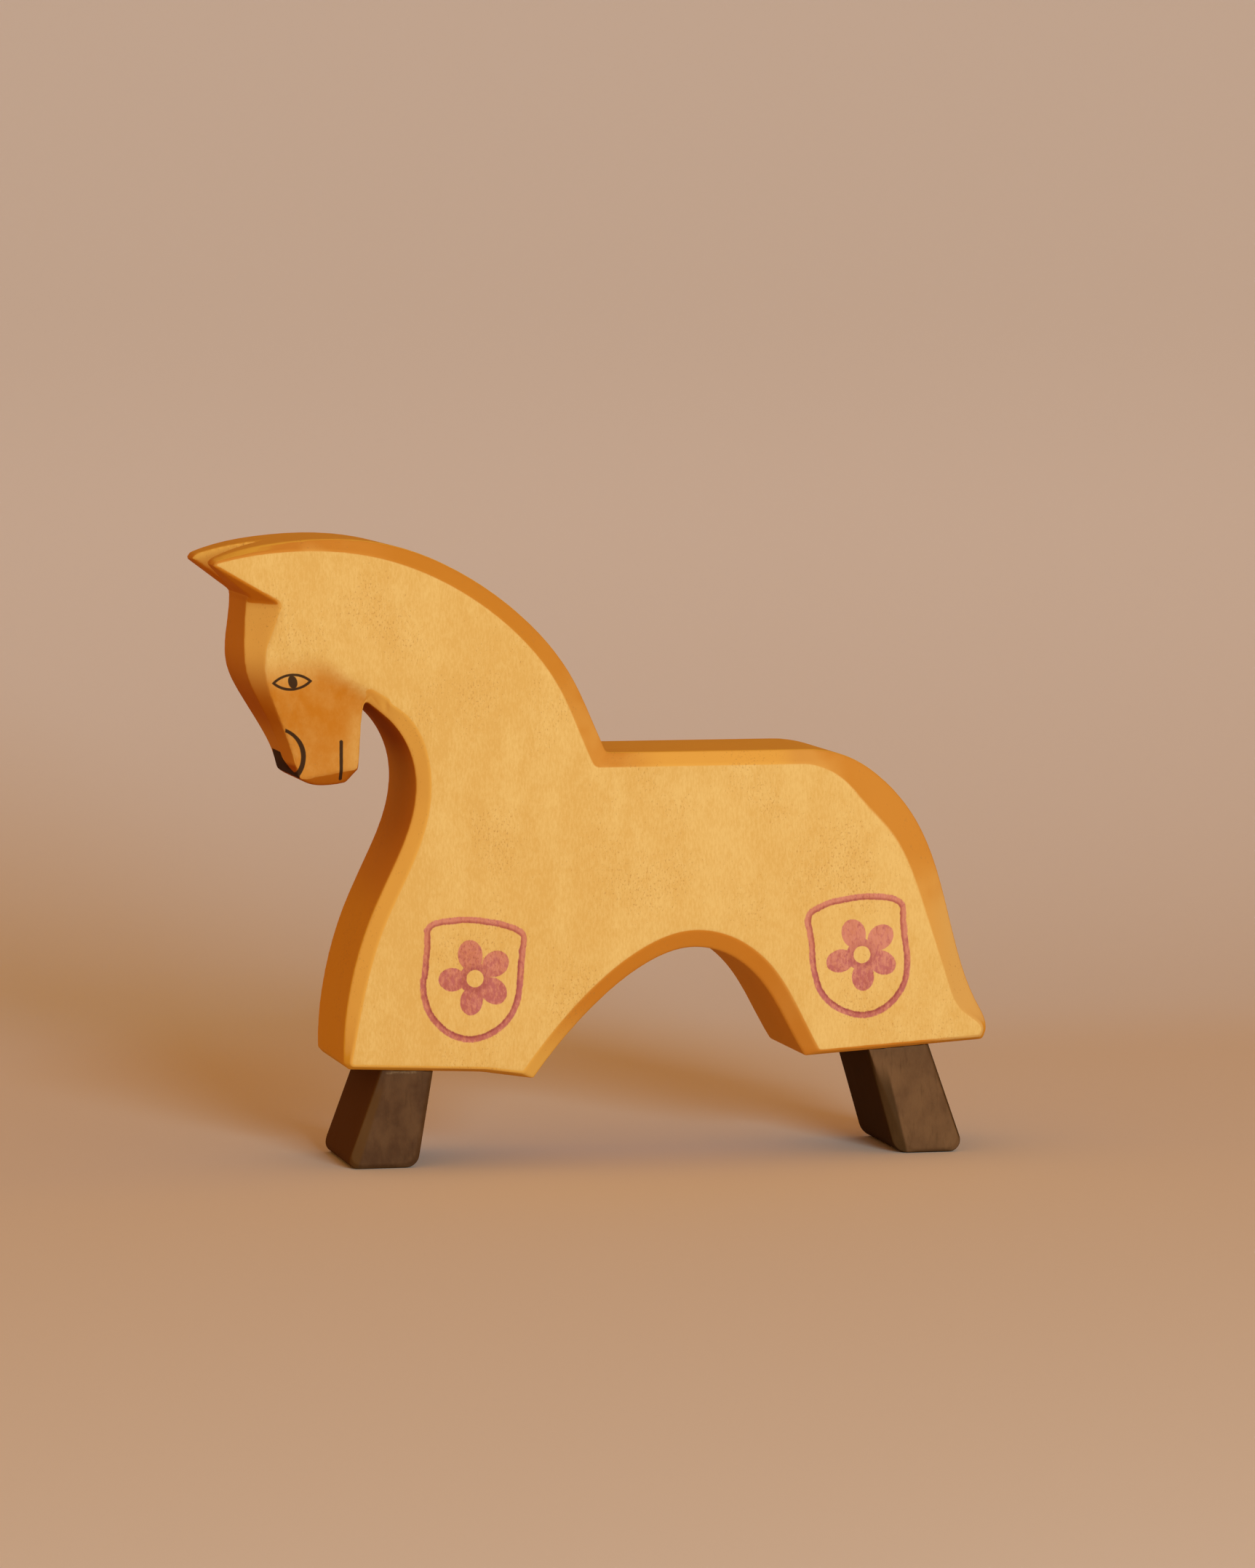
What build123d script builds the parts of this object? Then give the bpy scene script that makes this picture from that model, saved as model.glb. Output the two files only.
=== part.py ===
"""Hand-carved wooden horse in a long cloth cover, sawn from one plank, with two glued-on leg blocks.

Frame: +Z up, the horse looks along -X, its left side faces -Y, and z = 0 is the surface it stands on.
"""
import os
from dataclasses import dataclass

from build123d import *

# ---- Driving dimensions, in millimetres ----

plank_thickness = 32.0  # across the horse, from side face to side face
chamfer_depth = 2.1  # how far the knife-cut chamfers reach in from each side face
hem_height = 16.3  # lowest corner of the cloth hem above the ground
back_height = 60.8  # level stretch of the back above that corner
saddle_length = 38.0  # that stretch, from the withers to the croup
poll_height = 101.1  # top of the arched neck above the hem corner

leg_inset = 2.5  # each side of a leg block behind the side face
leg_chamfer = 0.8
hem_arris = 0.2  # width that the knife takes off a leg's front arris under the hem
front_leg_length = 10.0  # front to back, under the hem
front_foot_length = 13.8  # front to back, on the ground
rear_leg_length = 12.0
rear_foot_length = 13.6

dowel_diameter = 5.0
dowel_length = 20.0
dowel_inset = 6.5  # from the side of a leg to the middle of its dowel
dowel_chamfer = 0.6
glue_gap = 0.05  # round a dowel, between its side and its bore
bore_end_gap = 1.0  # past each end of a dowel, for air and spare glue

cheek_depth = 4.6  # how much thinner each side of the muzzle is than the neck
cheek_reach = 26.0  # down the cheek, from its upper line to that full depth
left_ear = 6.0  # thickness of the left ear's tip
right_ear = 8.5  # the carver's right ear is a little thicker

side_y = plank_thickness / 2
leg_side_y = side_y - leg_inset
withers_x = 0.5
croup_x = withers_x + saddle_length

# ---- Side outline of the body ----
# Each stretch runs clockwise from its first corner to the first corner of the next. A point is
# (x, height, width of the chamfer there), measured from the corner that the stretch belongs to. The
# width is measured on the side face, square to the outline.


def placed(points, x=0.0, height=0.0):
    """Points that are measured from a corner at x and at a height above the hem corner."""
    return [(x + along, height + up, width) for along, up, width in points]


crest = placed([
    (-73.4, -3.5, 0.5),  # upper corner of the ear tip
    (-68.2, -1.8, 1.1),
    (-59.7, -0.4, 1.6),
    (-50.0, 0.0, 2.2),
    (-38.8, -1.6, 2.8),
    (-26.3, -6.9, 3.0),
    (-15.3, -14.9, 3.1),
    (-6.2, -25.8, 3.3),
], height=poll_height) + placed([(-2.5, 5.7, 3.4)], withers_x, back_height)
back = placed([(0.0, 0.0, 2.5)], withers_x, back_height)  # level from the withers
rump = placed([
    (0.0, 0.0, 2.5),
    (5.0, -0.5, 3.4),
    (9.5, -2.0, 4.5),
    (15.0, -5.7, 6.0),
], croup_x, back_height) + placed([
    (21.5, 47.5, 5.8),
    (25.9, 37.4, 5.2),
    (28.8, 26.4, 4.4),
    (31.2, 18.0, 4.0),
    (33.7, 12.2, 3.5),
    (35.5, 7.6, 1.1),
], croup_x)
rear_hem = placed([(34.7, 5.2, 0.8)], croup_x)
arch = placed([
    (0.2, 2.9, 2.6),
    (-4.3, 11.0, 2.9),
    (-9.0, 18.1, 3.1),
    (-14.4, 22.3, 3.2),
], croup_x) + [
    (16.8, 23.9, 3.3),
    (8.1, 21.0, 3.2),
    (-1.4, 13.8, 3.0),
    (-8.6, 6.2, 2.8),
]
front_hem_lip = [(-13.4, 0.0, 0.9)]
front_hem = [(-23.5, 1.5, 0.8)]
front_hem_corner = [(-48.4, 2.56, 0.8)]
chest = [
    (-49.4, 3.7, 1.0),
    (-49.3, 9.0, 1.9),
    (-48.0, 18.3, 2.5),
    (-44.6, 29.9, 2.6),
    (-39.7, 40.7, 2.7),
] + placed([
    (-36.2, -50.9, 2.5),
    (-36.0, -42.2, 2.5),
    (-40.1, -34.2, 2.7),
    (-43.2, -31.5, 2.1),
], height=poll_height)
jaw = placed([
    (-45.2, -29.9, 0.0),  # top of the throat
    (-45.8, -35.0, 0.0),
    (-45.9, -39.6, 0.0),
], height=poll_height)
jaw_corner = placed([(-46.1, -42.8, 0.0)], height=poll_height)
chin = placed([
    (-48.1, -45.4, 0.0),
    (-51.9, -45.9, 0.0),
    (-55.6, -45.3, 0.0),
    (-57.9, -43.6, 0.0),
], height=poll_height)
nose = placed([
    (-59.3, -40.3, 0.0),
    (-61.6, -35.3, 0.0),
    (-64.6, -29.9, 0.0),
    (-66.9, -24.8, 0.0),
    (-67.3, -20.4, 0.0),
    (-67.0, -15.7, 0.0),
], height=poll_height)
stop_cut = placed([(-66.7, -11.4, 0.0)], height=poll_height)
ear_underside = placed([(-66.3, -10.5, 0.0)], height=poll_height)
ear_tip = placed([(-74.0, -4.5, 0.5)], height=poll_height)

stretches = [crest, back, rump, rear_hem, arch, front_hem_lip, front_hem, front_hem_corner, chest,
             jaw, jaw_corner, chin, nose, stop_cut, ear_underside, ear_tip]

# ---- Knife cuts on the head ----
# Depths are measured from the side face, and heights from the top of the arched neck.

# Facet beside the nose: (height, crease on the cheek, arris on the nose), each as (x, depth).
nose_facet = [
    (-5.1, (-61.2, 0.0), (-66.7, 6.2)),
    (-11.6, (-61.2, 0.0), (-66.7, 6.2)),
    (-18.4, (-62.7, 0.0), (-67.2, 5.2)),
    (-23.6, (-63.7, 0.5), (-67.3, 4.6)),
    (-28.1, (-62.9, 1.3), (-65.7, 5.0)),
    (-32.1, (-61.4, 2.1), (-63.6, 6.6)),
    (-36.1, (-59.8, 3.1), (-61.4, 9.2)),
    (-40.6, (-58.2, 3.9), (-59.4, 11.6)),
    (-48.1, (-56.6, 4.4), (-58.4, 12.6)),
]
# How far the knife runs on past the crease and the arris, as shares of the facet's width.
past_crease = 0.6
past_arris = 1.4

ear_crease = [(-61.2, -11.8), (-67.4, -8.2)]  # lower edge of the ear on the side face
# The V cut that parts the ears: (x, y, height) of both ends of its bottom line, from the crest down to
# the front, and (x, height) of the ear tips that its two walls reach.
poll_valley = [(-62.2, -1.0, -0.9), (-67.7, 6.0, -9.5)]
ear_tip_top = (-73.5, -3.8)

# Hollow of the cheek below a line from the brow to the throat. Its slope is hardly felt at the brow and
# steep at the throat, given as shares of its reach and of its depth.
cheek_line = [(-66.0, -14.9), (-37.5, -31.8)]
cheek_drops = [0.0, 0.09, 0.23, 0.46, 0.69, 1.0]
brow_slope = [0.0, 0.01, 0.03, 0.25, 0.78, 1.0]
throat_slope = [0.0, 0.38, 0.60, 0.76, 0.87, 1.0]
# The head seen from the side: bounded by the middle of the throat gap, with the neck left whole.
head_zone = [(-41.0, -33.0), (-42.6, -35.6), (-42.6, -61.0), (-85.0, -61.0), (-85.0, -6.0), (-41.0, -6.0)]

# Facet under the chin: (x, depth, height) of both ends of its upper edge and of its lowest point.
chin_facet = [(-57.6, 4.3, -44.5), (-46.1, 3.6, -42.6), (-51.9, 6.2, -46.3)]


@dataclass
class Leg:
    """One leg block, seen from the side: a hem edge at the top and a foot on the ground.

    The toe's arris is the width that the knife takes off the front arris there.
    """

    top_front: float
    top_length: float
    toe: float
    foot_length: float
    toe_arris: float
    toe_radius: float
    heel_radius: float
    hem: tuple


def head_point(x, y, height):
    """A point of the head, from its height above the top of the arched neck."""
    return Vector(x, y, hem_height + poll_height + height)


def left_point(x, depth, height):
    """A point of the head at a depth below the left side face."""
    return head_point(x, depth - side_y, height)


def hem_z(hem, x):
    """Height of a hem's straight lower edge above the ground at x."""
    (x_1, z_1), (x_2, z_2) = hem
    return hem_height + z_1 + (z_2 - z_1) * (x - x_1) / (x_2 - x_1)


front_leg_shape = Leg(
    top_front=-42.2, top_length=front_leg_length, toe=-49.0, foot_length=front_foot_length,
    toe_arris=0.3, toe_radius=1.8, heel_radius=2.6, hem=(front_hem[0][:2], front_hem_corner[0][:2]))
rear_leg_shape = Leg(
    top_front=croup_x + 12.5, top_length=rear_leg_length, toe=croup_x + 18.2, foot_length=rear_foot_length,
    toe_arris=2.0, toe_radius=3.4, heel_radius=2.2, hem=(rear_hem[0][:2], arch[0][:2]))


def joint_plane(leg):
    """Middle of the glued joint, with z along the leg, upwards, and y across the plank."""
    top_x = leg.top_front + leg.top_length / 2
    foot_x = leg.toe + leg.foot_length / 2
    top = Vector(top_x, 0, hem_z(leg.hem, top_x))
    return Plane(origin=top, x_dir=(1, 0, 0), z_dir=top - Vector(foot_x, 0, 0))


def dowel_places(leg):
    """Centre of each dowel of a leg: the left one, then the right one."""
    joint = joint_plane(leg)
    dowel_y = leg_side_y - dowel_inset
    return [Plane(joint.from_local_coords((0, y, 0)), joint.x_dir, joint.z_dir) for y in (-dowel_y, dowel_y)]


def bore_dowels(leg):
    """Drill the piece that is being built for the dowels of one leg."""
    for place in dowel_places(leg):
        with Locations(place):
            Cylinder(dowel_diameter / 2 + glue_gap, dowel_length + 2 * bore_end_gap, mode=Mode.SUBTRACT)


def into_wood(start, end):
    """Unit normal of one step along the clockwise outline, towards the wood."""
    return Vector(end[1] - start[1], start[0] - end[0]).normalized()


def draw_outline(share):
    """Draw the side outline, moved into the wood by a share of the chamfer width."""
    ring = [(point, place == 0) for stretch in stretches for place, point in enumerate(stretch)]
    moved = []
    for i, ((x, z, width), is_corner) in enumerate(ring):
        before, after = ring[i - 1][0], ring[(i + 1) % len(ring)][0]
        n_before, n_after = into_wood(before, (x, z)), into_wood((x, z), after)
        turn = n_before.dot(n_after)
        if is_corner and before[2] != width:  # where two stretches with their own widths cross
            pull_before = before[2] - turn * width
            pull_after = width - turn * before[2]
            shift = (n_before * pull_before + n_after * pull_after) / (1 - turn**2)
        else:
            shift = (n_before + n_after) * width / (1 + turn)
        moved.append(Vector(x, z) + shift * share)
    moved.append(moved[0])
    first = 0
    for stretch in stretches:
        points = moved[first:first + len(stretch) + 1]
        first += len(stretch)
        if len(points) == 2:
            Line(*points)
        else:
            Spline(*points)


# ---- Waste that the knife takes off the left side of the head ----

body_plane = Plane(origin=(0, 0, hem_height), x_dir=(1, 0, 0), z_dir=(0, -1, 0))
head_plane = Plane(origin=(0, 0, hem_height + poll_height), x_dir=(1, 0, 0), z_dir=(0, -1, 0))

cheek_front, cheek_back = (left_point(x, 0, height) for x, height in cheek_line)
with BuildPart() as cheek_waste:
    for end, slope in ((cheek_front, brow_slope), (cheek_back, throat_slope)):
        with BuildSketch(Plane(origin=end, x_dir=(0, 1, 0), z_dir=cheek_back - cheek_front)):
            with BuildLine():
                hollow = Spline([(share * cheek_depth, -drop * cheek_reach)
                                 for drop, share in zip(cheek_drops, slope)])
                Polyline(hollow @ 1, (-side_y, (hollow @ 1).Y), (-side_y, 0), hollow @ 0)
            make_face()
    loft(ruled=True)
    with BuildSketch(head_plane):
        Polygon(head_zone, align=None)
    extrude(amount=plank_thickness, both=True, mode=Mode.INTERSECT)

ear_back, ear_front = (left_point(x, 0, height) for x, height in ear_crease)
with BuildPart() as nose_waste:
    for height, on_cheek, on_nose in nose_facet:
        crease, arris = left_point(*on_cheek, height), left_point(*on_nose, height)
        outer_crease = crease + (crease - arris) * past_crease
        outer_arris = arris + (arris - crease) * past_arris
        with BuildSketch(Plane.XY.offset(crease.Z)):
            Polygon((outer_crease.X, outer_crease.Y), (outer_arris.X, outer_arris.Y),
                    (outer_arris.X, outer_crease.Y), align=None)
    loft()
    notch_height, _, notch = nose_facet[1]
    ledge = Plane(origin=ear_back,
                  z_dir=(left_point(*notch, notch_height) - ear_back).cross(ear_front - ear_back))
    split(bisect_by=ledge, keep=Keep.BOTTOM)

chin_front, chin_back, chin_low = (left_point(*point) for point in chin_facet)
chin_edge = chin_back - chin_front
with BuildPart() as chin_waste:
    with BuildSketch(Plane(origin=chin_front, x_dir=chin_edge,
                           z_dir=(chin_low - chin_front).cross(chin_edge))):
        Rectangle(2.5 * chin_edge.length, chin_edge.length)  # past the jaw, short of the chest
    extrude(amount=chin_edge.length / 2)

valley_top, valley_end = (head_point(*point) for point in poll_valley)
ear_tips = [head_point(ear_tip_top[0], y, ear_tip_top[1]) for y in (left_ear - side_y, side_y - right_ear)]
with BuildPart() as poll_waste:
    with BuildSketch(Plane(origin=valley_top, z_dir=valley_end - valley_top)) as notch_section:
        walls = [notch_section.workplanes[0].to_local_coords(tip) * 2 for tip in ear_tips]
        Polygon((0, 0), *((wall.X, wall.Y) for wall in walls), align=None)
    extrude(amount=plank_thickness, both=True)

# ---- Body: one plank with head, neck, trunk and the cover's two skirts ----

with BuildPart() as body:
    for y, share in ((-side_y, 1), (chamfer_depth - side_y, 0), (side_y - chamfer_depth, 0), (side_y, 1)):
        with BuildSketch(body_plane.offset(-y)):
            with BuildLine():
                draw_outline(share)
            make_face()
    loft(ruled=True)
    for waste in (cheek_waste, nose_waste, chin_waste):
        add(waste.part, mode=Mode.SUBTRACT)
        add(waste.part.mirror(Plane.XZ), mode=Mode.SUBTRACT)
    add(poll_waste.part, mode=Mode.SUBTRACT)
    for leg in (front_leg_shape, rear_leg_shape):
        bore_dowels(leg)
body.part.label = "body"

# ---- Leg blocks, glued and dowelled under the hems ----


def make_leg(leg):
    """Shape one leg block as the part that is being built."""
    top_rear = leg.top_front + leg.top_length
    heel_x = leg.toe + leg.foot_length
    sections = []
    for y, share in ((-leg_side_y, 1), (leg_chamfer - leg_side_y, 0), (leg_side_y - leg_chamfer, 0),
                     (leg_side_y, 1)):
        front = leg.top_front + share * hem_arris
        inset = share * leg_chamfer
        with BuildSketch(Plane.XZ.offset(-y)) as side:
            with BuildLine():
                Polyline((leg.toe + share * leg.toe_arris, inset), (front, hem_z(leg.hem, front)),
                         (top_rear - inset, hem_z(leg.hem, top_rear - inset)), (heel_x - inset, inset),
                         close=True)
            make_face()
            toe, heel = side.vertices().group_by(Axis.Y)[0].sort_by(Axis.X)
            fillet(toe, leg.toe_radius)
            fillet(side.vertices().sort_by_distance(heel)[0], leg.heel_radius)
        sections.append(side.sketch)
    loft(sections, ruled=True)
    bore_dowels(leg)


with BuildPart() as front_leg:
    make_leg(front_leg_shape)
front_leg.part.label = "front_leg"

with BuildPart() as rear_leg:
    make_leg(rear_leg_shape)
rear_leg.part.label = "rear_leg"

os.makedirs("parts", exist_ok=True)
export_step(body.part, "parts/body.step")
export_step(front_leg.part, "parts/front_leg.step")
export_step(rear_leg.part, "parts/rear_leg.step")

for name, leg in (("front", front_leg_shape), ("rear", rear_leg_shape)):
    for side, place in zip(("left", "right"), dowel_places(leg)):
        with BuildPart(place) as dowel:
            Cylinder(dowel_diameter / 2, dowel_length)
            chamfer(dowel.edges().filter_by(GeomType.CIRCLE), dowel_chamfer)
        dowel.part.label = f"{name}_dowel_{side}"
        export_step(dowel.part, f"parts/{dowel.part.label}.step")
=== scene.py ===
"""Hand-carved wooden horse in a long cloth cover, stained ochre and painted, on two dark leg blocks."""
import math

import bmesh
import bpy
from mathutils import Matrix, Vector


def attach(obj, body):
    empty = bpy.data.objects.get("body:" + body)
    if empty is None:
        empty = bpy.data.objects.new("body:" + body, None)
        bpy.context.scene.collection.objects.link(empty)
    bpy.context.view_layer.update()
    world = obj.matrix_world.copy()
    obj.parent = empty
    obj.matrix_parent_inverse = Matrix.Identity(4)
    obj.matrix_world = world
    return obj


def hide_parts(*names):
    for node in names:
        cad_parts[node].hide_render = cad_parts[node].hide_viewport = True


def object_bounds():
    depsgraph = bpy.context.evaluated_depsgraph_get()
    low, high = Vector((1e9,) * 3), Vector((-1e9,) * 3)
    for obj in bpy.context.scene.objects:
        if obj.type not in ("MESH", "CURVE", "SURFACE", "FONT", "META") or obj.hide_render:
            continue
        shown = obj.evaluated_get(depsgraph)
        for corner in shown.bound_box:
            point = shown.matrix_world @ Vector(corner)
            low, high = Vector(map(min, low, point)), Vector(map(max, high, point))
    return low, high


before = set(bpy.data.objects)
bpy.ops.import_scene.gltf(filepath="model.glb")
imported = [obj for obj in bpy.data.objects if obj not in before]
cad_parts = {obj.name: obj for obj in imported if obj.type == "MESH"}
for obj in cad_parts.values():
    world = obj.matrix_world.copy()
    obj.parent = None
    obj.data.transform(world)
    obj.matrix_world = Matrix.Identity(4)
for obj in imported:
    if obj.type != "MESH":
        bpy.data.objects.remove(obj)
solid_box = [list(corner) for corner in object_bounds()]

# ---- Body ----
# One plank of lime wood with head, neck, trunk and the cover's two skirts. It is sawn out, cut with
# a knife and lightly sanded, which leaves every arris a little round, then stained ochre.


def carve(node, name, finest_cut, sanding, kept_share, soften=None):
    """A piece's solid with its arrises worn round: the finest cut is in metres, the sanding in rubs."""
    piece = bpy.data.objects.new(name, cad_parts[node].data.copy())
    bpy.context.scene.collection.objects.link(piece)
    loose = bmesh.new()
    loose.from_mesh(piece.data)
    bmesh.ops.remove_doubles(loose, verts=loose.verts, dist=1e-6)
    loose.to_mesh(piece.data)
    loose.free()
    knife = piece.modifiers.new("knife", "REMESH")
    knife.mode = "VOXEL"
    knife.voxel_size = finest_cut
    paper = piece.modifiers.new("paper", "SMOOTH")
    paper.factor = 0.5
    paper.iterations = sanding
    settle(piece)
    if soften:
        soften(piece)
    thinning = piece.modifiers.new("thinning", "DECIMATE")
    thinning.ratio = kept_share
    settle(piece)
    piece.data.name = name
    piece.data.shade_smooth()
    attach(piece, "root")
    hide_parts(node)
    return piece


def settle(piece):
    """Make the piece's modifiers part of its mesh."""
    worn = bpy.data.meshes.new_from_object(piece.evaluated_get(bpy.context.evaluated_depsgraph_get()))
    piece.modifiers.clear()
    piece.data = worn


def soften_head(piece):
    """Sand the step above each cheek until it fades into the neck, and the walls between the ears."""
    step_start, step_end = Vector((-0.0680, 0.1050)), Vector((-0.0415, 0.0885))
    step_reach, cheek_side, step_rubs = 0.0065, 0.0115, 160
    valley_back, valley_bottom, valley_side, valley_rubs = -0.0600, 0.1065, 0.0130, 12
    levels = 20
    along = (step_end - step_start).normalized()
    step, valley = piece.vertex_groups.new(name="step"), piece.vertex_groups.new(name="valley")
    rubbed = [[] for _ in range(levels + 1)]
    walls = []
    for vertex in piece.data.vertices:
        from_start = Vector((vertex.co.x, vertex.co.z)) - step_start
        place = from_start.dot(along) / (step_end - step_start).length
        away = abs(from_start.cross(along)) / step_reach
        if 0.0 < place < 1.0 and away < 1.0 and abs(vertex.co.y) > cheek_side:
            weight = (1 - away**2)**2 * (4 * place * (1 - place))**2
            rubbed[round(weight * levels)].append(vertex.index)
        if vertex.co.x < valley_back and vertex.co.z > valley_bottom and abs(vertex.co.y) < valley_side:
            walls.append(vertex.index)
    for level in range(1, levels + 1):
        step.add(rubbed[level], level / levels, "REPLACE")
    valley.add(walls, 1.0, "REPLACE")
    # The step is only rubbed into the plank, so that its line stays where it was cut.
    for group, rubs in ((step, step_rubs), (valley, valley_rubs)):
        rub = piece.modifiers.new("rub", "SMOOTH")
        rub.use_x = rub.use_z = group == valley
        rub.vertex_group = group.name
        rub.iterations = rubs
    settle(piece)
    piece.vertex_groups.clear()


def add_node(tree, kind, sockets=None, **settings):
    """A shader node with its settings, and its sockets set or linked, by name or number."""
    made = tree.nodes.new("ShaderNode" + kind)
    for setting, value in settings.items():
        setattr(made, setting, value)
    for key, value in (sockets or {}).items():
        if isinstance(value, bpy.types.NodeSocket):
            tree.links.new(value, made.inputs[key])
        else:
            made.inputs[key].default_value = value
    return made


def calc(tree, operation, *values):
    """The result of one sum on numbers or sockets."""
    return add_node(tree, "Math", dict(enumerate(values)), operation=operation).outputs[0]


def gather(tree, operation, result, *others):
    """One result from any number of values: their total, their product, the least or the greatest."""
    for value in others:
        result = calc(tree, operation, result, value)
    return result


def ramp(tree, value, low, high, start=0.0, end=1.0):
    """start below low, end above high, and a smooth change between them."""
    made = add_node(tree, "MapRange", {"Value": value, "From Min": low, "From Max": high,
                                       "To Min": start, "To Max": end}, interpolation_type="SMOOTHSTEP")
    return made.outputs["Result"]


def within(tree, *edges):
    """Share of a place: 1 where every value is past its second edge, 0 before its first."""
    return gather(tree, "MULTIPLY", *[ramp(tree, value, outside, inside) for value, outside, inside in edges])


def blend(tree, share, under, over, way="MIX"):
    """One colour over another."""
    made = add_node(tree, "Mix", {0: share, 6: under, 7: over}, data_type="RGBA", blend_type=way)
    return made.outputs[2]


def pattern(tree, place, stretch, detail=2.0, roughness=0.5):
    """Noise on a place in millimetres, with its grains stretched to the given lengths."""
    moved = add_node(tree, "Mapping", {"Vector": place, "Scale": [1 / length for length in stretch]})
    made = add_node(tree, "TexNoise", {"Vector": moved.outputs[0], "Scale": 1.0, "Detail": detail,
                                       "Roughness": roughness})
    return made.outputs["Fac"]


def start_finish(name):
    """A new material with its shader, and the place on the piece in millimetres."""
    finish = bpy.data.materials.new(name)
    finish.use_nodes = True
    tree = finish.node_tree
    shader = tree.nodes["Principled BSDF"]
    place = add_node(tree, "VectorMath", {0: add_node(tree, "TexCoord").outputs["Object"],
                                          1: (1000.0, 1000.0, 1000.0)}, operation="MULTIPLY").outputs[0]
    return finish, tree, shader, place


def turned(tree):
    """How far the surface faces along each axis."""
    return add_node(tree, "SeparateXYZ", {0: add_node(tree, "NewGeometry").outputs["Normal"]}).outputs


def rub_down(tree, shader, facing, colour, relief, strength, height):
    """Lay a colour and its relief on stained wood, which is smoothest on the plank's side faces."""
    bump = add_node(tree, "Bump", {"Height": relief, "Strength": strength, "Distance": height})
    tree.links.new(colour, shader.inputs["Base Color"])
    tree.links.new(bump.outputs[0], shader.inputs["Normal"])
    tree.links.new(ramp(tree, facing, 0.9, 0.3, 0.56, 0.95), shader.inputs["Roughness"])
    shader.inputs["Specular IOR Level"].default_value = 0.04


def coat(piece, finish):
    """Give a piece one finish all over."""
    piece.data.materials.clear()
    piece.data.materials.append(finish)


stained_wood, tree, shader, place = start_finish("stained_wood")
x, y, z = add_node(tree, "SeparateXYZ", {0: place}).outputs
_, across, upward = turned(tree)
facing = calc(tree, "ABSOLUTE", across)
depth = calc(tree, "SUBTRACT", solid_box[1][1] * 1000, calc(tree, "ABSOLUTE", y))

# It is all one stain, which came out differently on the faces and on the cuts. Some of the tones below are
# painted light and painted shade.
face_stain = (0.735, 0.410, 0.117, 1.0)
light_stain = (0.815, 0.503, 0.176, 1.0)
cut_stain = (0.70, 0.325, 0.072, 1.0)
cut_painted_light = (0.78, 0.385, 0.076, 1.0)
dark_cut_stain = (0.62, 0.24, 0.036, 1.0)
downward_cut_painted_shade = (0.63, 0.215, 0.024, 1.0)
crest_painted_shade = (0.58, 0.215, 0.026, 1.0)
rump_cut_stain = (0.68, 0.35, 0.097, 1.0)
wall_stain = (0.69, 0.29, 0.034, 1.0)
chest_wall_painted_light = (0.76, 0.36, 0.036, 1.0)
top_wall_painted_light = (0.72, 0.375, 0.055, 1.0)
deep_painted_shade = (0.45, 0.12, 0.004, 1.0)
brow_painted_light = (0.80, 0.42, 0.095, 1.0)
ear_painted_light = (0.85, 0.48, 0.108, 1.0)
under_ear_painted_shade = (0.58, 0.185, 0.011, 1.0)
cheek_painted_shade = (0.57, 0.185, 0.014, 1.0)
chin_painted_shade = (0.39, 0.095, 0.005, 1.0)
fleck_stain = (0.46, 0.19, 0.045, 1.0)

# Flat side faces took the stain evenly, in pale flames and small clouds, a little paler to the rear.
flames = pattern(tree, place, (7, 7, 22), detail=3.0, roughness=0.55)
clouds = pattern(tree, place, (3.2, 3.2, 4.2), detail=4.0, roughness=0.65)
grain = pattern(tree, place, (0.35, 0.35, 1.1), roughness=0.7)
paleness = gather(
    tree, "ADD",
    ramp(tree, flames, 0.38, 0.66, 0.0, 0.40),
    ramp(tree, x, -45.0, 60.0, 0.0, 0.28),
    ramp(tree, clouds, 0.35, 0.68, 0.0, 0.32),
    ramp(tree, grain, 0.3, 0.7, -0.32, 0.32))
wood = blend(tree, paleness, face_stain, light_stain)

# The knife's facets took more of it. Those that look down are darker, as painted shade, and some places
# on the trunk have tones of their own: painted light at the front of the arch, on the chest and on the
# saddle, painted shade on the crest, darker on the croup and a little paler on the rump. Each place runs
# from where its own tone ends to where it is full, in millimetres.
strokes = calc(tree, "ADD", pattern(tree, place, (9, 14, 9)), ramp(tree, x, -60.0, 70.0, -0.15, 0.15))
cut_wood = blend(tree, ramp(tree, strokes, 0.35, 0.65), dark_cut_stain, cut_stain)
# Cuts that look down get painted shade.
cut_wood = blend(tree, ramp(tree, upward, 0.0, -0.4), cut_wood, downward_cut_painted_shade)
arch_front = within(tree, (x, 12.0, -6.0), (z, 32.0, 18.0))
chest = within(tree, (x, -26.0, -33.0), (z, 92.0, 88.0))
saddle = within(tree, (x, 2.0, 12.0), (x, 38.0, 32.0), (z, 60.0, 70.0))
croup = within(tree, (x, 42.0, 47.0), (z, 48.0, 58.0))
rump = within(tree, (x, 60.0, 68.0), (z, 56.0, 46.0))
crest = within(tree, (x, 6.0, -18.0), (x, -46.0, -38.0), (z, 76.0, 86.0), (upward, 0.0, 0.2))
# Painted light at the front of the arch, on the chest and on the saddle; painted shade on the crest.
for cut_place, stain in ((arch_front, cut_painted_light), (chest, cut_painted_light), (saddle, cut_painted_light),
                         (croup, dark_cut_stain), (rump, rump_cut_stain), (crest, crest_painted_shade)):
    cut_wood = blend(tree, cut_place, cut_wood, stain)

# The sawn walls across the plank took more of it too. Where they look up, and low on the front of the
# chest, they are lighter, as painted light.
chest_wall = within(tree, (x, -30.0, -40.0), (z, 56.0, 46.0))
# The lower chest wall is lighter: painted light.
walls = blend(tree, chest_wall, wall_stain, chest_wall_painted_light)
# Walls that look up are lighter: painted light.
walls = blend(tree, ramp(tree, upward, 0.4, 0.9), walls, top_wall_painted_light)
cut_wood = blend(tree, ramp(tree, facing, 0.60, 0.50), cut_wood, walls)
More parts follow.
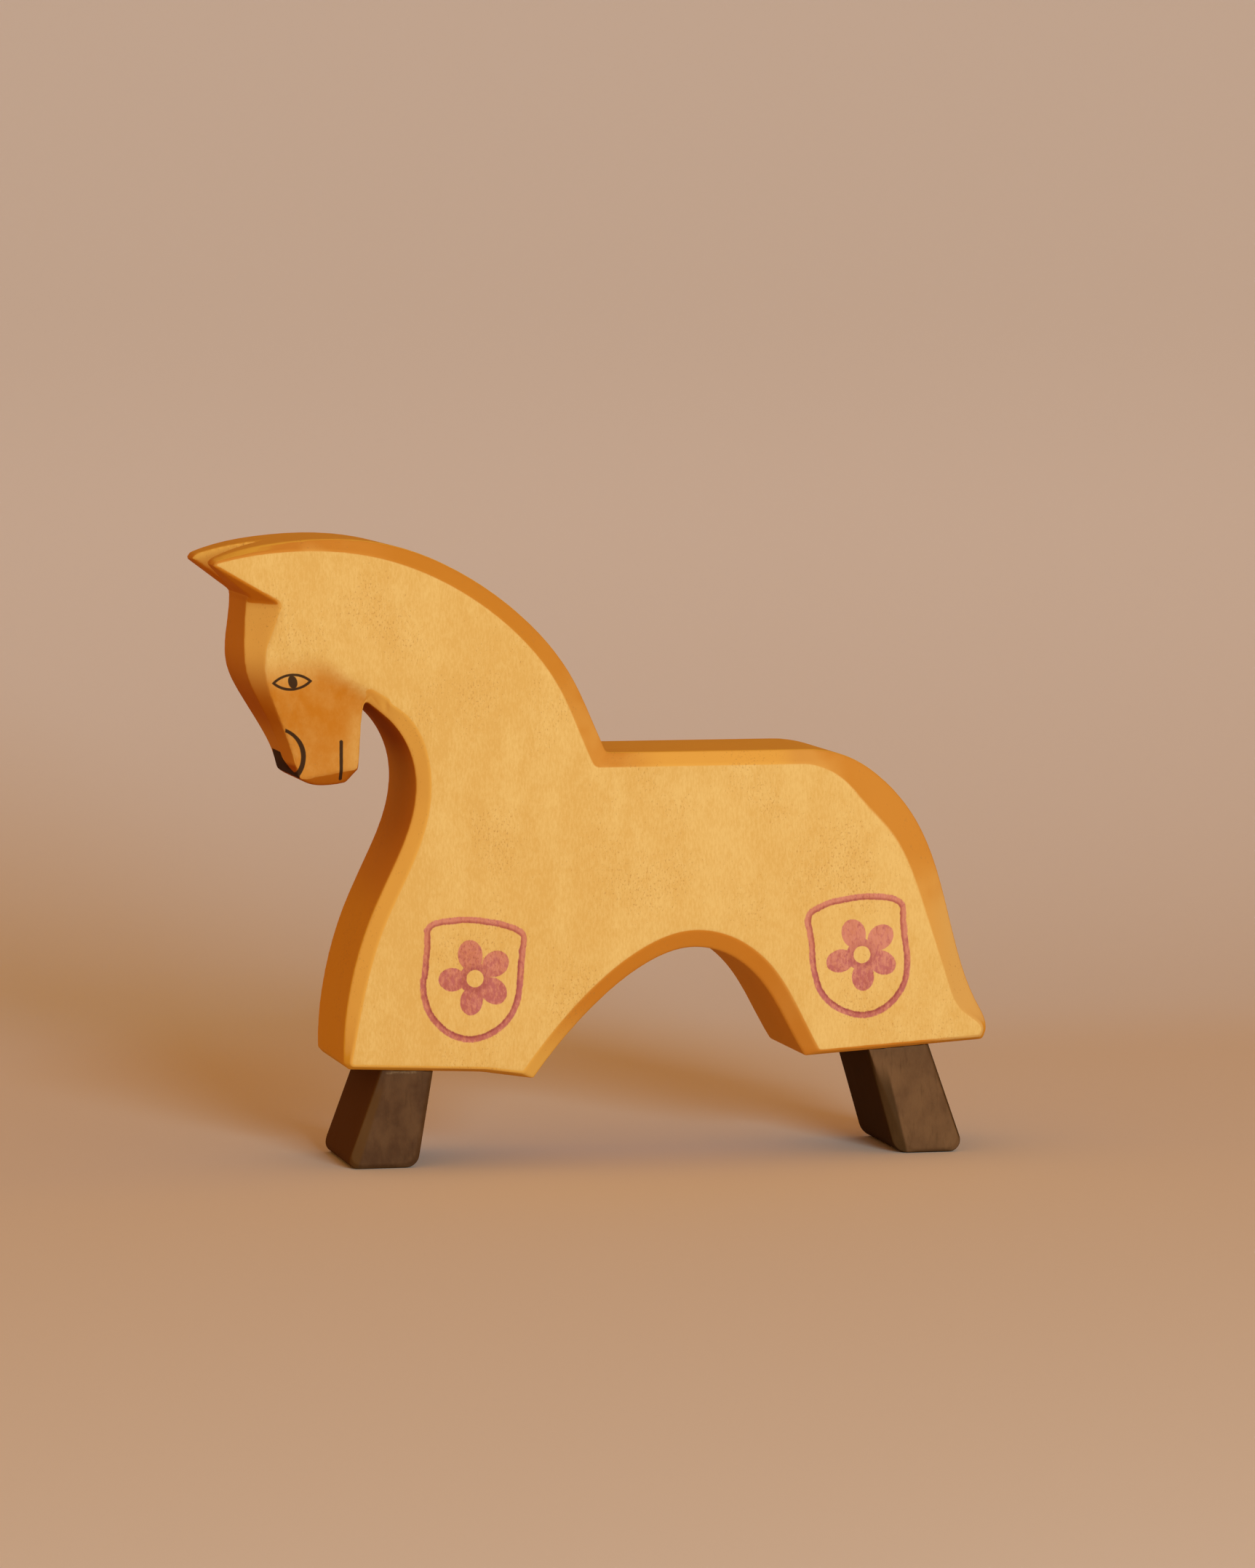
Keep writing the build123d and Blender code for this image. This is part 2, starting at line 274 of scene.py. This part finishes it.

# On the head the brow and the walls between the ears are lighter, as painted light, and it is darker under
# the ears, on the nose, in the throat and under the chin, as painted shade.
brow = within(tree, (x, -56.0, -58.0), (z, 80.0, 92.0), (z, 108.0, 104.0), (facing, 0.35, 0.50))
ear = within(tree, (x, -58.0, -60.0), (z, 106.0, 107.5), (depth, 3.0, 5.0), (facing, 0.35, 0.50))
ear_under = within(tree, (x, -57.0, -58.0), (z, 103.5, 105.5), (upward, -0.25, -0.5))
nose = within(tree, (x, -57.5, -59.0), (z, 98.5, 86.5))
nose = calc(tree, "MULTIPLY", nose, ramp(tree, z, 78.5, 85.5, 0.3, 0.93))
throat = within(tree, (x, -50.0, -46.0), (x, -34.0, -38.0), (z, 54.0, 80.0), (z, 91.0, 89.0),
                (facing, 0.5, 0.3))
chin = within(tree, (x, -44.0, -45.0), (z, 76.0, 75.0), (z, 68.0, 69.0))
# Painted light on the brow and the ears; painted shade under the ears, on the nose, in the throat and under
# the chin.
for cut_place, stain in ((brow, brow_painted_light), (ear, ear_painted_light), (ear_under, under_ear_painted_shade),
                         (nose, deep_painted_shade), (throat, deep_painted_shade), (chin, chin_painted_shade)):
    cut_wood = blend(tree, cut_place, cut_wood, stain)

# A cut is whatever turns away from the side, and on the head it has to turn further.
head = within(tree, (x, -44.0, -46.0), (z, 68.0, 69.0), (z, 105.0, 103.0))
cut = ramp(tree, calc(tree, "MULTIPLY_ADD", head, 0.17, facing), 0.99, 0.95)
wood = blend(tree, cut, wood, cut_wood)

# The cheeks are darker, as painted shade, from a line that runs from the brow to the throat and fades at
# the brow, and less at the jaw.
cheek_line = ramp(tree, x, -55.0, -42.0, 97.0, 89.8)
fade = ramp(tree, x, -58.0, -48.0, 8.5, 4.5)
below_line = calc(tree, "DIVIDE", calc(tree, "SUBTRACT", cheek_line, z), fade)
jaw = within(tree, (x, -50.0, -46.5), (z, 87.0, 83.0))
cheek = gather(
    tree, "MULTIPLY",
    within(tree, (below_line, 0.0, 1.0), (x, -41.5, -44.0), (z, 65.0, 68.0), (facing, 0.74, 0.82)),
    ramp(tree, clouds, 0.30, 0.70, 1.0, 0.80),
    ramp(tree, z, 74.0, 86.0, 0.87, 1.0),
    calc(tree, "MULTIPLY_ADD", jaw, -0.38, 1.0))
wood = blend(tree, cheek, wood, cheek_painted_shade)

# Dark flecks lie over all of it, in loose patches.
flecks = pattern(tree, place, (0.32, 0.32, 0.55))
rough_patches = pattern(tree, place, (14, 14, 16))
flecks = calc(tree, "ADD", flecks, ramp(tree, rough_patches, 0.35, 0.70, -0.12, 0.02))
wood = blend(tree, ramp(tree, flecks, 0.56, 0.70, 0.0, 0.50), wood, fleck_stain)

# The paint is drawn on both side faces, so its shapes are set out by x and z alone. The brush wobbles and
# the rough wood takes a line unevenly: both are in millimetres, and each line takes a part of them.
wobble = pattern(tree, place, (2.2, 2.2, 2.2), detail=3.0, roughness=0.7)
wobble = calc(tree, "MULTIPLY_ADD", wobble, 0.5, -0.25)
rough_line = calc(tree, "MULTIPLY_ADD", pattern(tree, place, (0.35, 0.35, 0.7)), 0.3, -0.15)


def distance_to(tree, centre, half_width=1.0, half_height=1.0, lean=0.0):
    """Distance from a point on the side face, in units of an ellipse's half axes, leaning by an angle."""
    along, up = calc(tree, "SUBTRACT", x, centre[0]), calc(tree, "SUBTRACT", z, centre[1])
    wide = calc(tree, "MULTIPLY_ADD", along, math.cos(lean), calc(tree, "MULTIPLY", up, math.sin(lean)))
    tall = calc(tree, "MULTIPLY_ADD", along, -math.sin(lean), calc(tree, "MULTIPLY", up, math.cos(lean)))
    wide, tall = calc(tree, "DIVIDE", wide, half_width), calc(tree, "DIVIDE", tall, half_height)
    squares = calc(tree, "MULTIPLY_ADD", wide, wide, calc(tree, "MULTIPLY", tall, tall))
    return calc(tree, "SQRT", squares)


def outside_ellipse(tree, centre, half_width, half_height, lean):
    """Distance outside an ellipse on the side face, in millimetres, or inside it below zero."""
    from_edge = calc(tree, "SUBTRACT", distance_to(tree, centre, half_width, half_height, lean), 1.0)
    return calc(tree, "MULTIPLY", from_edge, half_width)


def outside_circle(tree, centre, radius):
    """Distance outside a circle on the side face, in millimetres, or inside it below zero."""
    return calc(tree, "SUBTRACT", distance_to(tree, centre), radius)


def paint_shield(tree, centre, outline, petals):
    """Masks of a shield's line, of the dark places in its paint, and of its flower.

    The outline is the line's points from the shield's centre, in millimetres. A petal is its place from
    there, its half width and half height, and its lean in degrees.
    """
    curve_radius, turn_ahead = 16.0, 0.006
    half_line, soft_edge = 0.59, 0.13
    heart_radius, bare_radius = 3.0, 1.62
    along, up = calc(tree, "SUBTRACT", x, centre[0]), calc(tree, "SUBTRACT", z, centre[1])
    radius = distance_to(tree, centre)
    turn = calc(tree, "MULTIPLY_ADD", calc(tree, "ARCTAN2", up, along), 0.5 / math.pi, 0.5)

    # The line's radius is a curve over one turn, and the gap to the line is measured square to its slope.
    corners = sorted((math.atan2(dz, dx) / math.tau + 0.5, math.hypot(dx, dz) / curve_radius)
                     for dx, dz in outline)
    corners[:0] = [(0.0, (corners[0][1] + corners[-1][1]) / 2)]
    corners.append((1.0, corners[0][1]))
    line_radius = []
    for step in (0.0, turn_ahead):
        curve = add_node(tree, "FloatCurve", {"Value": calc(tree, "ADD", turn, step)})
        points = curve.mapping.curves[0].points
        points[0].location, points[1].location = corners[0], corners[-1]
        for corner in corners[1:-1]:
            points.new(*corner)
        curve.mapping.update()
        line_radius.append(calc(tree, "MULTIPLY", curve.outputs[0], curve_radius))
    slope = calc(tree, "DIVIDE", calc(tree, "SUBTRACT", line_radius[1], line_radius[0]), line_radius[0])
    slope = calc(tree, "DIVIDE", slope, turn_ahead * math.tau)
    square = calc(tree, "SQRT", calc(tree, "MULTIPLY_ADD", slope, slope, 1.0))
    gap = calc(tree, "DIVIDE", calc(tree, "SUBTRACT", radius, line_radius[0]), square)
    gap = calc(tree, "ADD", gap, calc(tree, "MULTIPLY", wobble, 0.25))
    uneven = calc(tree, "ADD", calc(tree, "MULTIPLY_ADD", wobble, 0.4, half_line), rough_line)
    line = ramp(tree, calc(tree, "SUBTRACT", calc(tree, "ABSOLUTE", gap), uneven), soft_edge, -soft_edge)
    inner_edge = calc(tree, "MULTIPLY", line, ramp(tree, gap, 0.05, -0.50))

    # The petals run together round a bare spot, and the paint is thickest next to it.
    flower = None
    for (dx, dz), half_width, half_height, lean in petals:
        petal = outside_ellipse(tree, (centre[0] + dx, centre[1] + dz), half_width, half_height,
                                math.radians(lean))
        flower = petal if flower is None else calc(tree, "SMOOTH_MIN", flower, petal, 0.5)
    flower = calc(tree, "MINIMUM", flower, calc(tree, "SUBTRACT", radius, heart_radius))
    flower = calc(tree, "ADD", flower, calc(tree, "MULTIPLY", wobble, 0.4))
    flower = calc(tree, "MAXIMUM", flower, calc(tree, "SUBTRACT", bare_radius, radius))
    flower = ramp(tree, calc(tree, "ADD", flower, calc(tree, "MULTIPLY", rough_line, 0.5)), 0.08, -0.08)
    heart = calc(tree, "MULTIPLY", flower, ramp(tree, radius, 3.4, 1.8, 0.0, 0.45))
    return line, calc(tree, "MAXIMUM", inner_edge, heart), flower


front_shield = paint_shield(
    tree, centre=(-24.9, 35.5),
    outline=[
        (-8.9, 9.2), (-8.3, 10.0), (-7.1, 10.5), (-3.5, 10.95), (1.7, 10.7), (5.1, 10.0), (8.0, 8.9),
        (8.9, 8.3), (9.2, 7.3), (9.0, 4.8), (8.7, 1.5), (8.5, -1.1), (8.0, -4.3), (6.8, -7.0), (4.4, -9.5),
        (1.6, -10.9), (-1.5, -11.3), (-4.4, -10.4), (-7.1, -8.3), (-8.9, -5.6), (-9.7, -2.4), (-9.5, 1.0),
        (-9.2, 4.4), (-9.0, 7.8)],
    petals=[((-0.9, 4.4), 2.35, 2.85, 6), ((3.9, 2.7), 2.35, 2.6, -57), ((3.5, -2.4), 2.3, 2.75, 48),
            ((-0.7, -4.2), 2.15, 2.65, -4), ((-4.3, -0.1), 2.2, 2.6, 85)])
rear_shield = paint_shield(
    tree, centre=(49.2, 38.3),
    outline=[
        (-10.3, 7.3), (-9.9, 8.1), (-8.6, 8.9), (-6.3, 9.9), (-2.8, 10.6), (0.7, 10.95), (4.2, 10.8),
        (6.6, 10.2), (7.5, 9.6), (7.9, 8.3), (8.1, 5.3), (8.5, 1.9), (8.8, -1.6), (8.4, -5.0), (6.6, -8.2),
        (4.0, -10.4), (0.8, -11.4), (-2.8, -10.8), (-5.9, -9.1), (-8.2, -6.3), (-9.2, -2.9), (-9.6, 0.6),
        (-10.0, 4.0)],
    petals=[((-1.6, 4.0), 2.3, 2.8, 20), ((3.6, 3.2), 2.25, 2.7, -50), ((4.0, -1.6), 2.2, 2.7, 62),
            ((0.2, -4.2), 2.15, 2.65, 2), ((-4.2, -1.1), 2.15, 2.7, 102)])

# The wash is thin and shows on the side faces only. It darkens the wood, and it is thinner higher up.
thin_wash = (0.83, 0.485, 1.08, 1.0)
full_wash = (0.63, 0.275, 0.83, 1.0)
pooled_wash = (0.60, 0.36, 0.42, 1.0)
on_side = ramp(tree, facing, 0.90, 0.96)
fullness = pattern(tree, place, (0.7, 0.7, 1.3), detail=3.0, roughness=0.7)
fullness = calc(tree, "ADD", fullness, ramp(tree, z, 33.0, 43.0, 0.06, -0.10))
wash = blend(tree, ramp(tree, fullness, 0.38, 0.64), thin_wash, full_wash)
for line, pooled, flower in (front_shield, rear_shield):
    for mask, colour, strength in ((flower, wash, 0.97), (line, wash, 0.97), (pooled, pooled_wash, 0.8)):
        share = gather(tree, "MULTIPLY", mask, on_side, strength)
        wood = blend(tree, share, wood, colour, "MULTIPLY")

# The eye is an almond between two arcs, tipped a little, with a leaning pupil, and the mouth is a short
# stroke. The nostril is an arc that meets a dark wedge round the tip of the nose.
drawn_brown = (0.032, 0.015, 0.009, 1.0)
lid_radius, lid_half_line = 5.06, 0.25
lids = calc(tree, "MAXIMUM", outside_circle(tree, (-58.76, 87.40), lid_radius),
            outside_circle(tree, (-59.10, 94.80), lid_radius))
eye = calc(tree, "SUBTRACT", calc(tree, "ABSOLUTE", lids), lid_half_line)
pupil = outside_ellipse(tree, (-58.8, 91.13), 0.85, 1.30, math.radians(17))
pupil = calc(tree, "MAXIMUM", pupil, lids)

mouth_middle, mouth_half_length, mouth_half_line, mouth_lean = 76.3, 3.5, 0.32, 0.024
past_end = calc(tree, "ABSOLUTE", calc(tree, "SUBTRACT", z, mouth_middle))
past_end = calc(tree, "MAXIMUM", calc(tree, "SUBTRACT", past_end, mouth_half_length), 0.0)
beside = calc(tree, "MULTIPLY_ADD", calc(tree, "SUBTRACT", z, 80.0), mouth_lean, calc(tree, "ADD", x, 49.46))
mouth = calc(tree, "MULTIPLY_ADD", beside, beside, calc(tree, "MULTIPLY", past_end, past_end))
mouth = calc(tree, "SUBTRACT", calc(tree, "SQRT", mouth), mouth_half_line)

nostril_front, wedge_back, wedge_top, wedge_half_width = -59.9, -57.0, 77.5, 4.7
nostril = calc(tree, "ABSOLUTE", outside_circle(tree, (-61.9, 76.93), 5.5))
nostril = calc(tree, "SUBTRACT", nostril, ramp(tree, z, 82.0, 78.0, 0.32, 0.46))
nostril = calc(tree, "MAXIMUM", nostril, calc(tree, "SUBTRACT", nostril_front, x))
below_top = calc(tree, "SUBTRACT", wedge_top, z)
wedge_side = calc(tree, "MULTIPLY_ADD", calc(tree, "MULTIPLY", below_top, below_top), 0.45, wedge_half_width)
wedge = gather(
    tree, "MAXIMUM",
    calc(tree, "SUBTRACT", calc(tree, "ABSOLUTE", y), wedge_side),
    calc(tree, "SUBTRACT", z, wedge_top),
    calc(tree, "SUBTRACT", x, wedge_back))

on_cheek = calc(tree, "ADD", gather(tree, "MINIMUM", eye, pupil, mouth), ramp(tree, facing, 0.65, 0.5))
drawn = gather(tree, "MINIMUM", on_cheek, nostril, wedge)
drawn = calc(tree, "ADD", drawn, calc(tree, "MULTIPLY", wobble, 0.25))
wood = blend(tree, ramp(tree, drawn, 0.08, -0.08, 0.0, 0.96), wood, drawn_brown)

relief = calc(tree, "MULTIPLY_ADD", pattern(tree, place, (7, 7, 9), detail=1.0), 0.25,
              calc(tree, "MULTIPLY", clouds, 0.02))
rub_down(tree, shader, facing, wood, relief, strength=1.0, height=0.001)

body = carve("body", "horse_body", finest_cut=0.00035, sanding=4, kept_share=0.30, soften=soften_head)
coat(body, stained_wood)

# ---- Legs ----
# Two blocks of the same wood, each as thick as a pair of legs, stained dark brown and glued under
# the hems.

dark_wood, tree, shader, place = start_finish("dark_wood")
along, _, up = add_node(tree, "SeparateXYZ", {0: place}).outputs
facing = calc(tree, "ABSOLUTE", turned(tree)[1])

dark_stain = (0.078, 0.033, 0.015, 1.0)
rubbed_stain = (0.172, 0.083, 0.038, 1.0)
streak_stain = (0.050, 0.020, 0.007, 1.0)
front_wall_stain = (0.105, 0.042, 0.010, 1.0)
rear_wall_painted_shade = (0.050, 0.022, 0.006, 1.0)
glue_and_glint_colour = (0.26, 0.16, 0.09, 1.0)

streaks = pattern(tree, place, (0.9, 0.9, 5), detail=3.0, roughness=0.6)
clouds = pattern(tree, place, (4, 4, 6), detail=4.0, roughness=0.6)
rubbed = calc(tree, "ADD", ramp(tree, clouds, 0.3, 0.7, 0.0, 0.5), ramp(tree, along, -30.0, 50.0, 0.0, 0.5))
leg_wood = blend(tree, rubbed, dark_stain, rubbed_stain)
leg_wood = blend(tree, ramp(tree, streaks, 0.5, 0.75, 0.0, 0.35), leg_wood, streak_stain)
# The walls of the rear block are darker, as painted shade under the belly.
leg_wall = blend(tree, ramp(tree, along, -30.0, 50.0), front_wall_stain, rear_wall_painted_shade)

# Along the front arris of each block the side face takes the walls' colour. The band is given by where it
# stands at the top, how far it moves for each millimetre down, and how wide it is.
arris_top = 20.0
for top, lean, width in ((-41.6, -0.326, 1.8), (52.8, 0.25, 1.4)):
    from_arris = calc(tree, "SUBTRACT", along, calc(tree, "MULTIPLY_ADD", up, -lean, top + arris_top * lean))
    arris_cut = within(tree, (from_arris, width, 0.6 * width), (from_arris, -8.0, -6.0), (up, 18.0, 12.0))
    leg_wood = blend(tree, calc(tree, "MULTIPLY", arris_cut, 0.8), leg_wood, leg_wall)

# A thin pale line under the front hem is partly dried glue and partly a painted glint on the leg's top edge.
glue_and_glint = within(tree, (up, 17.65, 17.9), (up, 18.35, 18.1), (along, -41.6, -40.8), (along, -35.0, -36.0))
glue_and_glint = calc(tree, "MULTIPLY", glue_and_glint, ramp(tree, pattern(tree, place, (0.5, 0.5, 0.5)), 0.42, 0.62, 0.15, 0.6))
leg_wood = blend(tree, glue_and_glint, leg_wood, glue_and_glint_colour)
leg_wood = blend(tree, ramp(tree, facing, 0.84, 0.5), leg_wood, leg_wall)
rub_down(tree, shader, facing, leg_wood, clouds, strength=0.5, height=0.0003)

for node in ("front_leg", "rear_leg"):
    leg = carve(node, node + "_block", finest_cut=0.00025, sanding=4, kept_share=0.5)
    coat(leg, dark_wood)

# ---- Dowels ----
# Four plain beech dowels, two in each joint between leg and body. They keep a leg from twisting and
# are hidden once they are glued in.

beech, tree, shader, place = start_finish("beech")
beech_light, beech_pore = (0.66, 0.46, 0.27, 1.0), (0.50, 0.32, 0.17, 1.0)
pores = ramp(tree, pattern(tree, place, (0.3, 0.3, 2.0)), 0.4, 0.7)
tree.links.new(blend(tree, pores, beech_light, beech_pore), shader.inputs["Base Color"])
shader.inputs["Roughness"].default_value = 0.7
for node in ("front_dowel_left", "front_dowel_right", "rear_dowel_left", "rear_dowel_right"):
    coat(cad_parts[node], beech)

# ---- Floor, light and camera ----
# A plain pale sheet of paper that lies under the horse and sweeps up behind it. One large soft lamp
# stands to the horse's left, a little to the rear, and the room fills the shade with dim warm light.

paper, tree, shader, place = start_finish("pale_paper")
near_paper = (0.706, 0.615, 0.605, 1.0)
far_paper = (0.73, 0.71, 0.83, 1.0)
upper_paper = (0.687, 0.663, 0.765, 1.0)
_, behind, height = add_node(tree, "SeparateXYZ", {0: place}).outputs
# The paper's colour changes from place to place as painted light and shade: warmer on the floor near the
# horse, bluer behind it and up the sweep.
sheet_colour = blend(tree, ramp(tree, behind, 120.0, 260.0), near_paper, far_paper)
sheet_colour = blend(tree, ramp(tree, height, 80.0, 160.0), sheet_colour, upper_paper)
tree.links.new(sheet_colour, shader.inputs["Base Color"])
shader.inputs["Roughness"].default_value = 0.95
shader.inputs["Specular IOR Level"].default_value = 0.0

reach, bend_start, bend_radius, bend_steps = 3.0, 0.25, 0.8, 18
bend_end = bend_start + bend_radius
section = [(-reach, 0.0), (bend_start, 0.0)]
for step in range(1, bend_steps):
    turn = math.radians(90 * step / bend_steps)
    section.append((bend_start + bend_radius * math.sin(turn), bend_radius * (1 - math.cos(turn))))
section += [(bend_end, bend_radius + 0.1), (bend_end, reach)]
sheet = bmesh.new()
rows = [[sheet.verts.new((side, y, height)) for y, height in section] for side in (-reach, reach)]
for i in range(len(section) - 1):
    sheet.faces.new((rows[0][i], rows[1][i], rows[1][i + 1], rows[0][i + 1]))
sweep_mesh = bpy.data.meshes.new("backdrop")
sheet.to_mesh(sweep_mesh)
sheet.free()
sweep_mesh.shade_smooth()
backdrop = bpy.data.objects.new("backdrop", sweep_mesh)
bpy.context.scene.collection.objects.link(backdrop)
coat(backdrop, paper)


def aim(thing, place, target):
    """Put a lamp or a camera at a place, looking at the target."""
    thing.location = place
    thing.rotation_euler = (Vector(target) - Vector(place)).to_track_quat("-Z", "Y").to_euler()
    bpy.context.scene.collection.objects.link(thing)


lamp = bpy.data.objects.new("window", bpy.data.lights.new("window", "AREA"))
lamp.data.shape = "DISK"
lamp.data.size = 0.6
lamp.data.energy = 25.3
lamp.data.color = (0.71, 1.0, 1.0)
aim(lamp, (0.26, -1.85, 0.46), (0.0, 0.0, 0.06))

room = bpy.data.worlds.new("room")
room.use_nodes = True
fill = room.node_tree.nodes["Background"]
fill.inputs["Color"].default_value = (1.0, 0.45, 0.06, 1.0)
fill.inputs["Strength"].default_value = 0.60
bpy.context.scene.world = room

look_at = Vector((0.007603, 0.0, 0.06994))
azimuth, elevation, distance = math.radians(-12.405), math.radians(4.648), 1.3032
from_horse = Vector((math.sin(azimuth) * math.cos(elevation), -math.cos(azimuth) * math.cos(elevation),
                     math.sin(elevation)))
camera = bpy.data.objects.new("camera", bpy.data.cameras.new("camera"))
camera.data.lens = 158.63
camera.data.sensor_width = 36.0
camera.data.clip_end = 20.0
aim(camera, look_at + distance * from_horse, look_at)
bpy.context.scene.camera = camera
bpy.context.scene.view_settings.view_transform = "Standard"
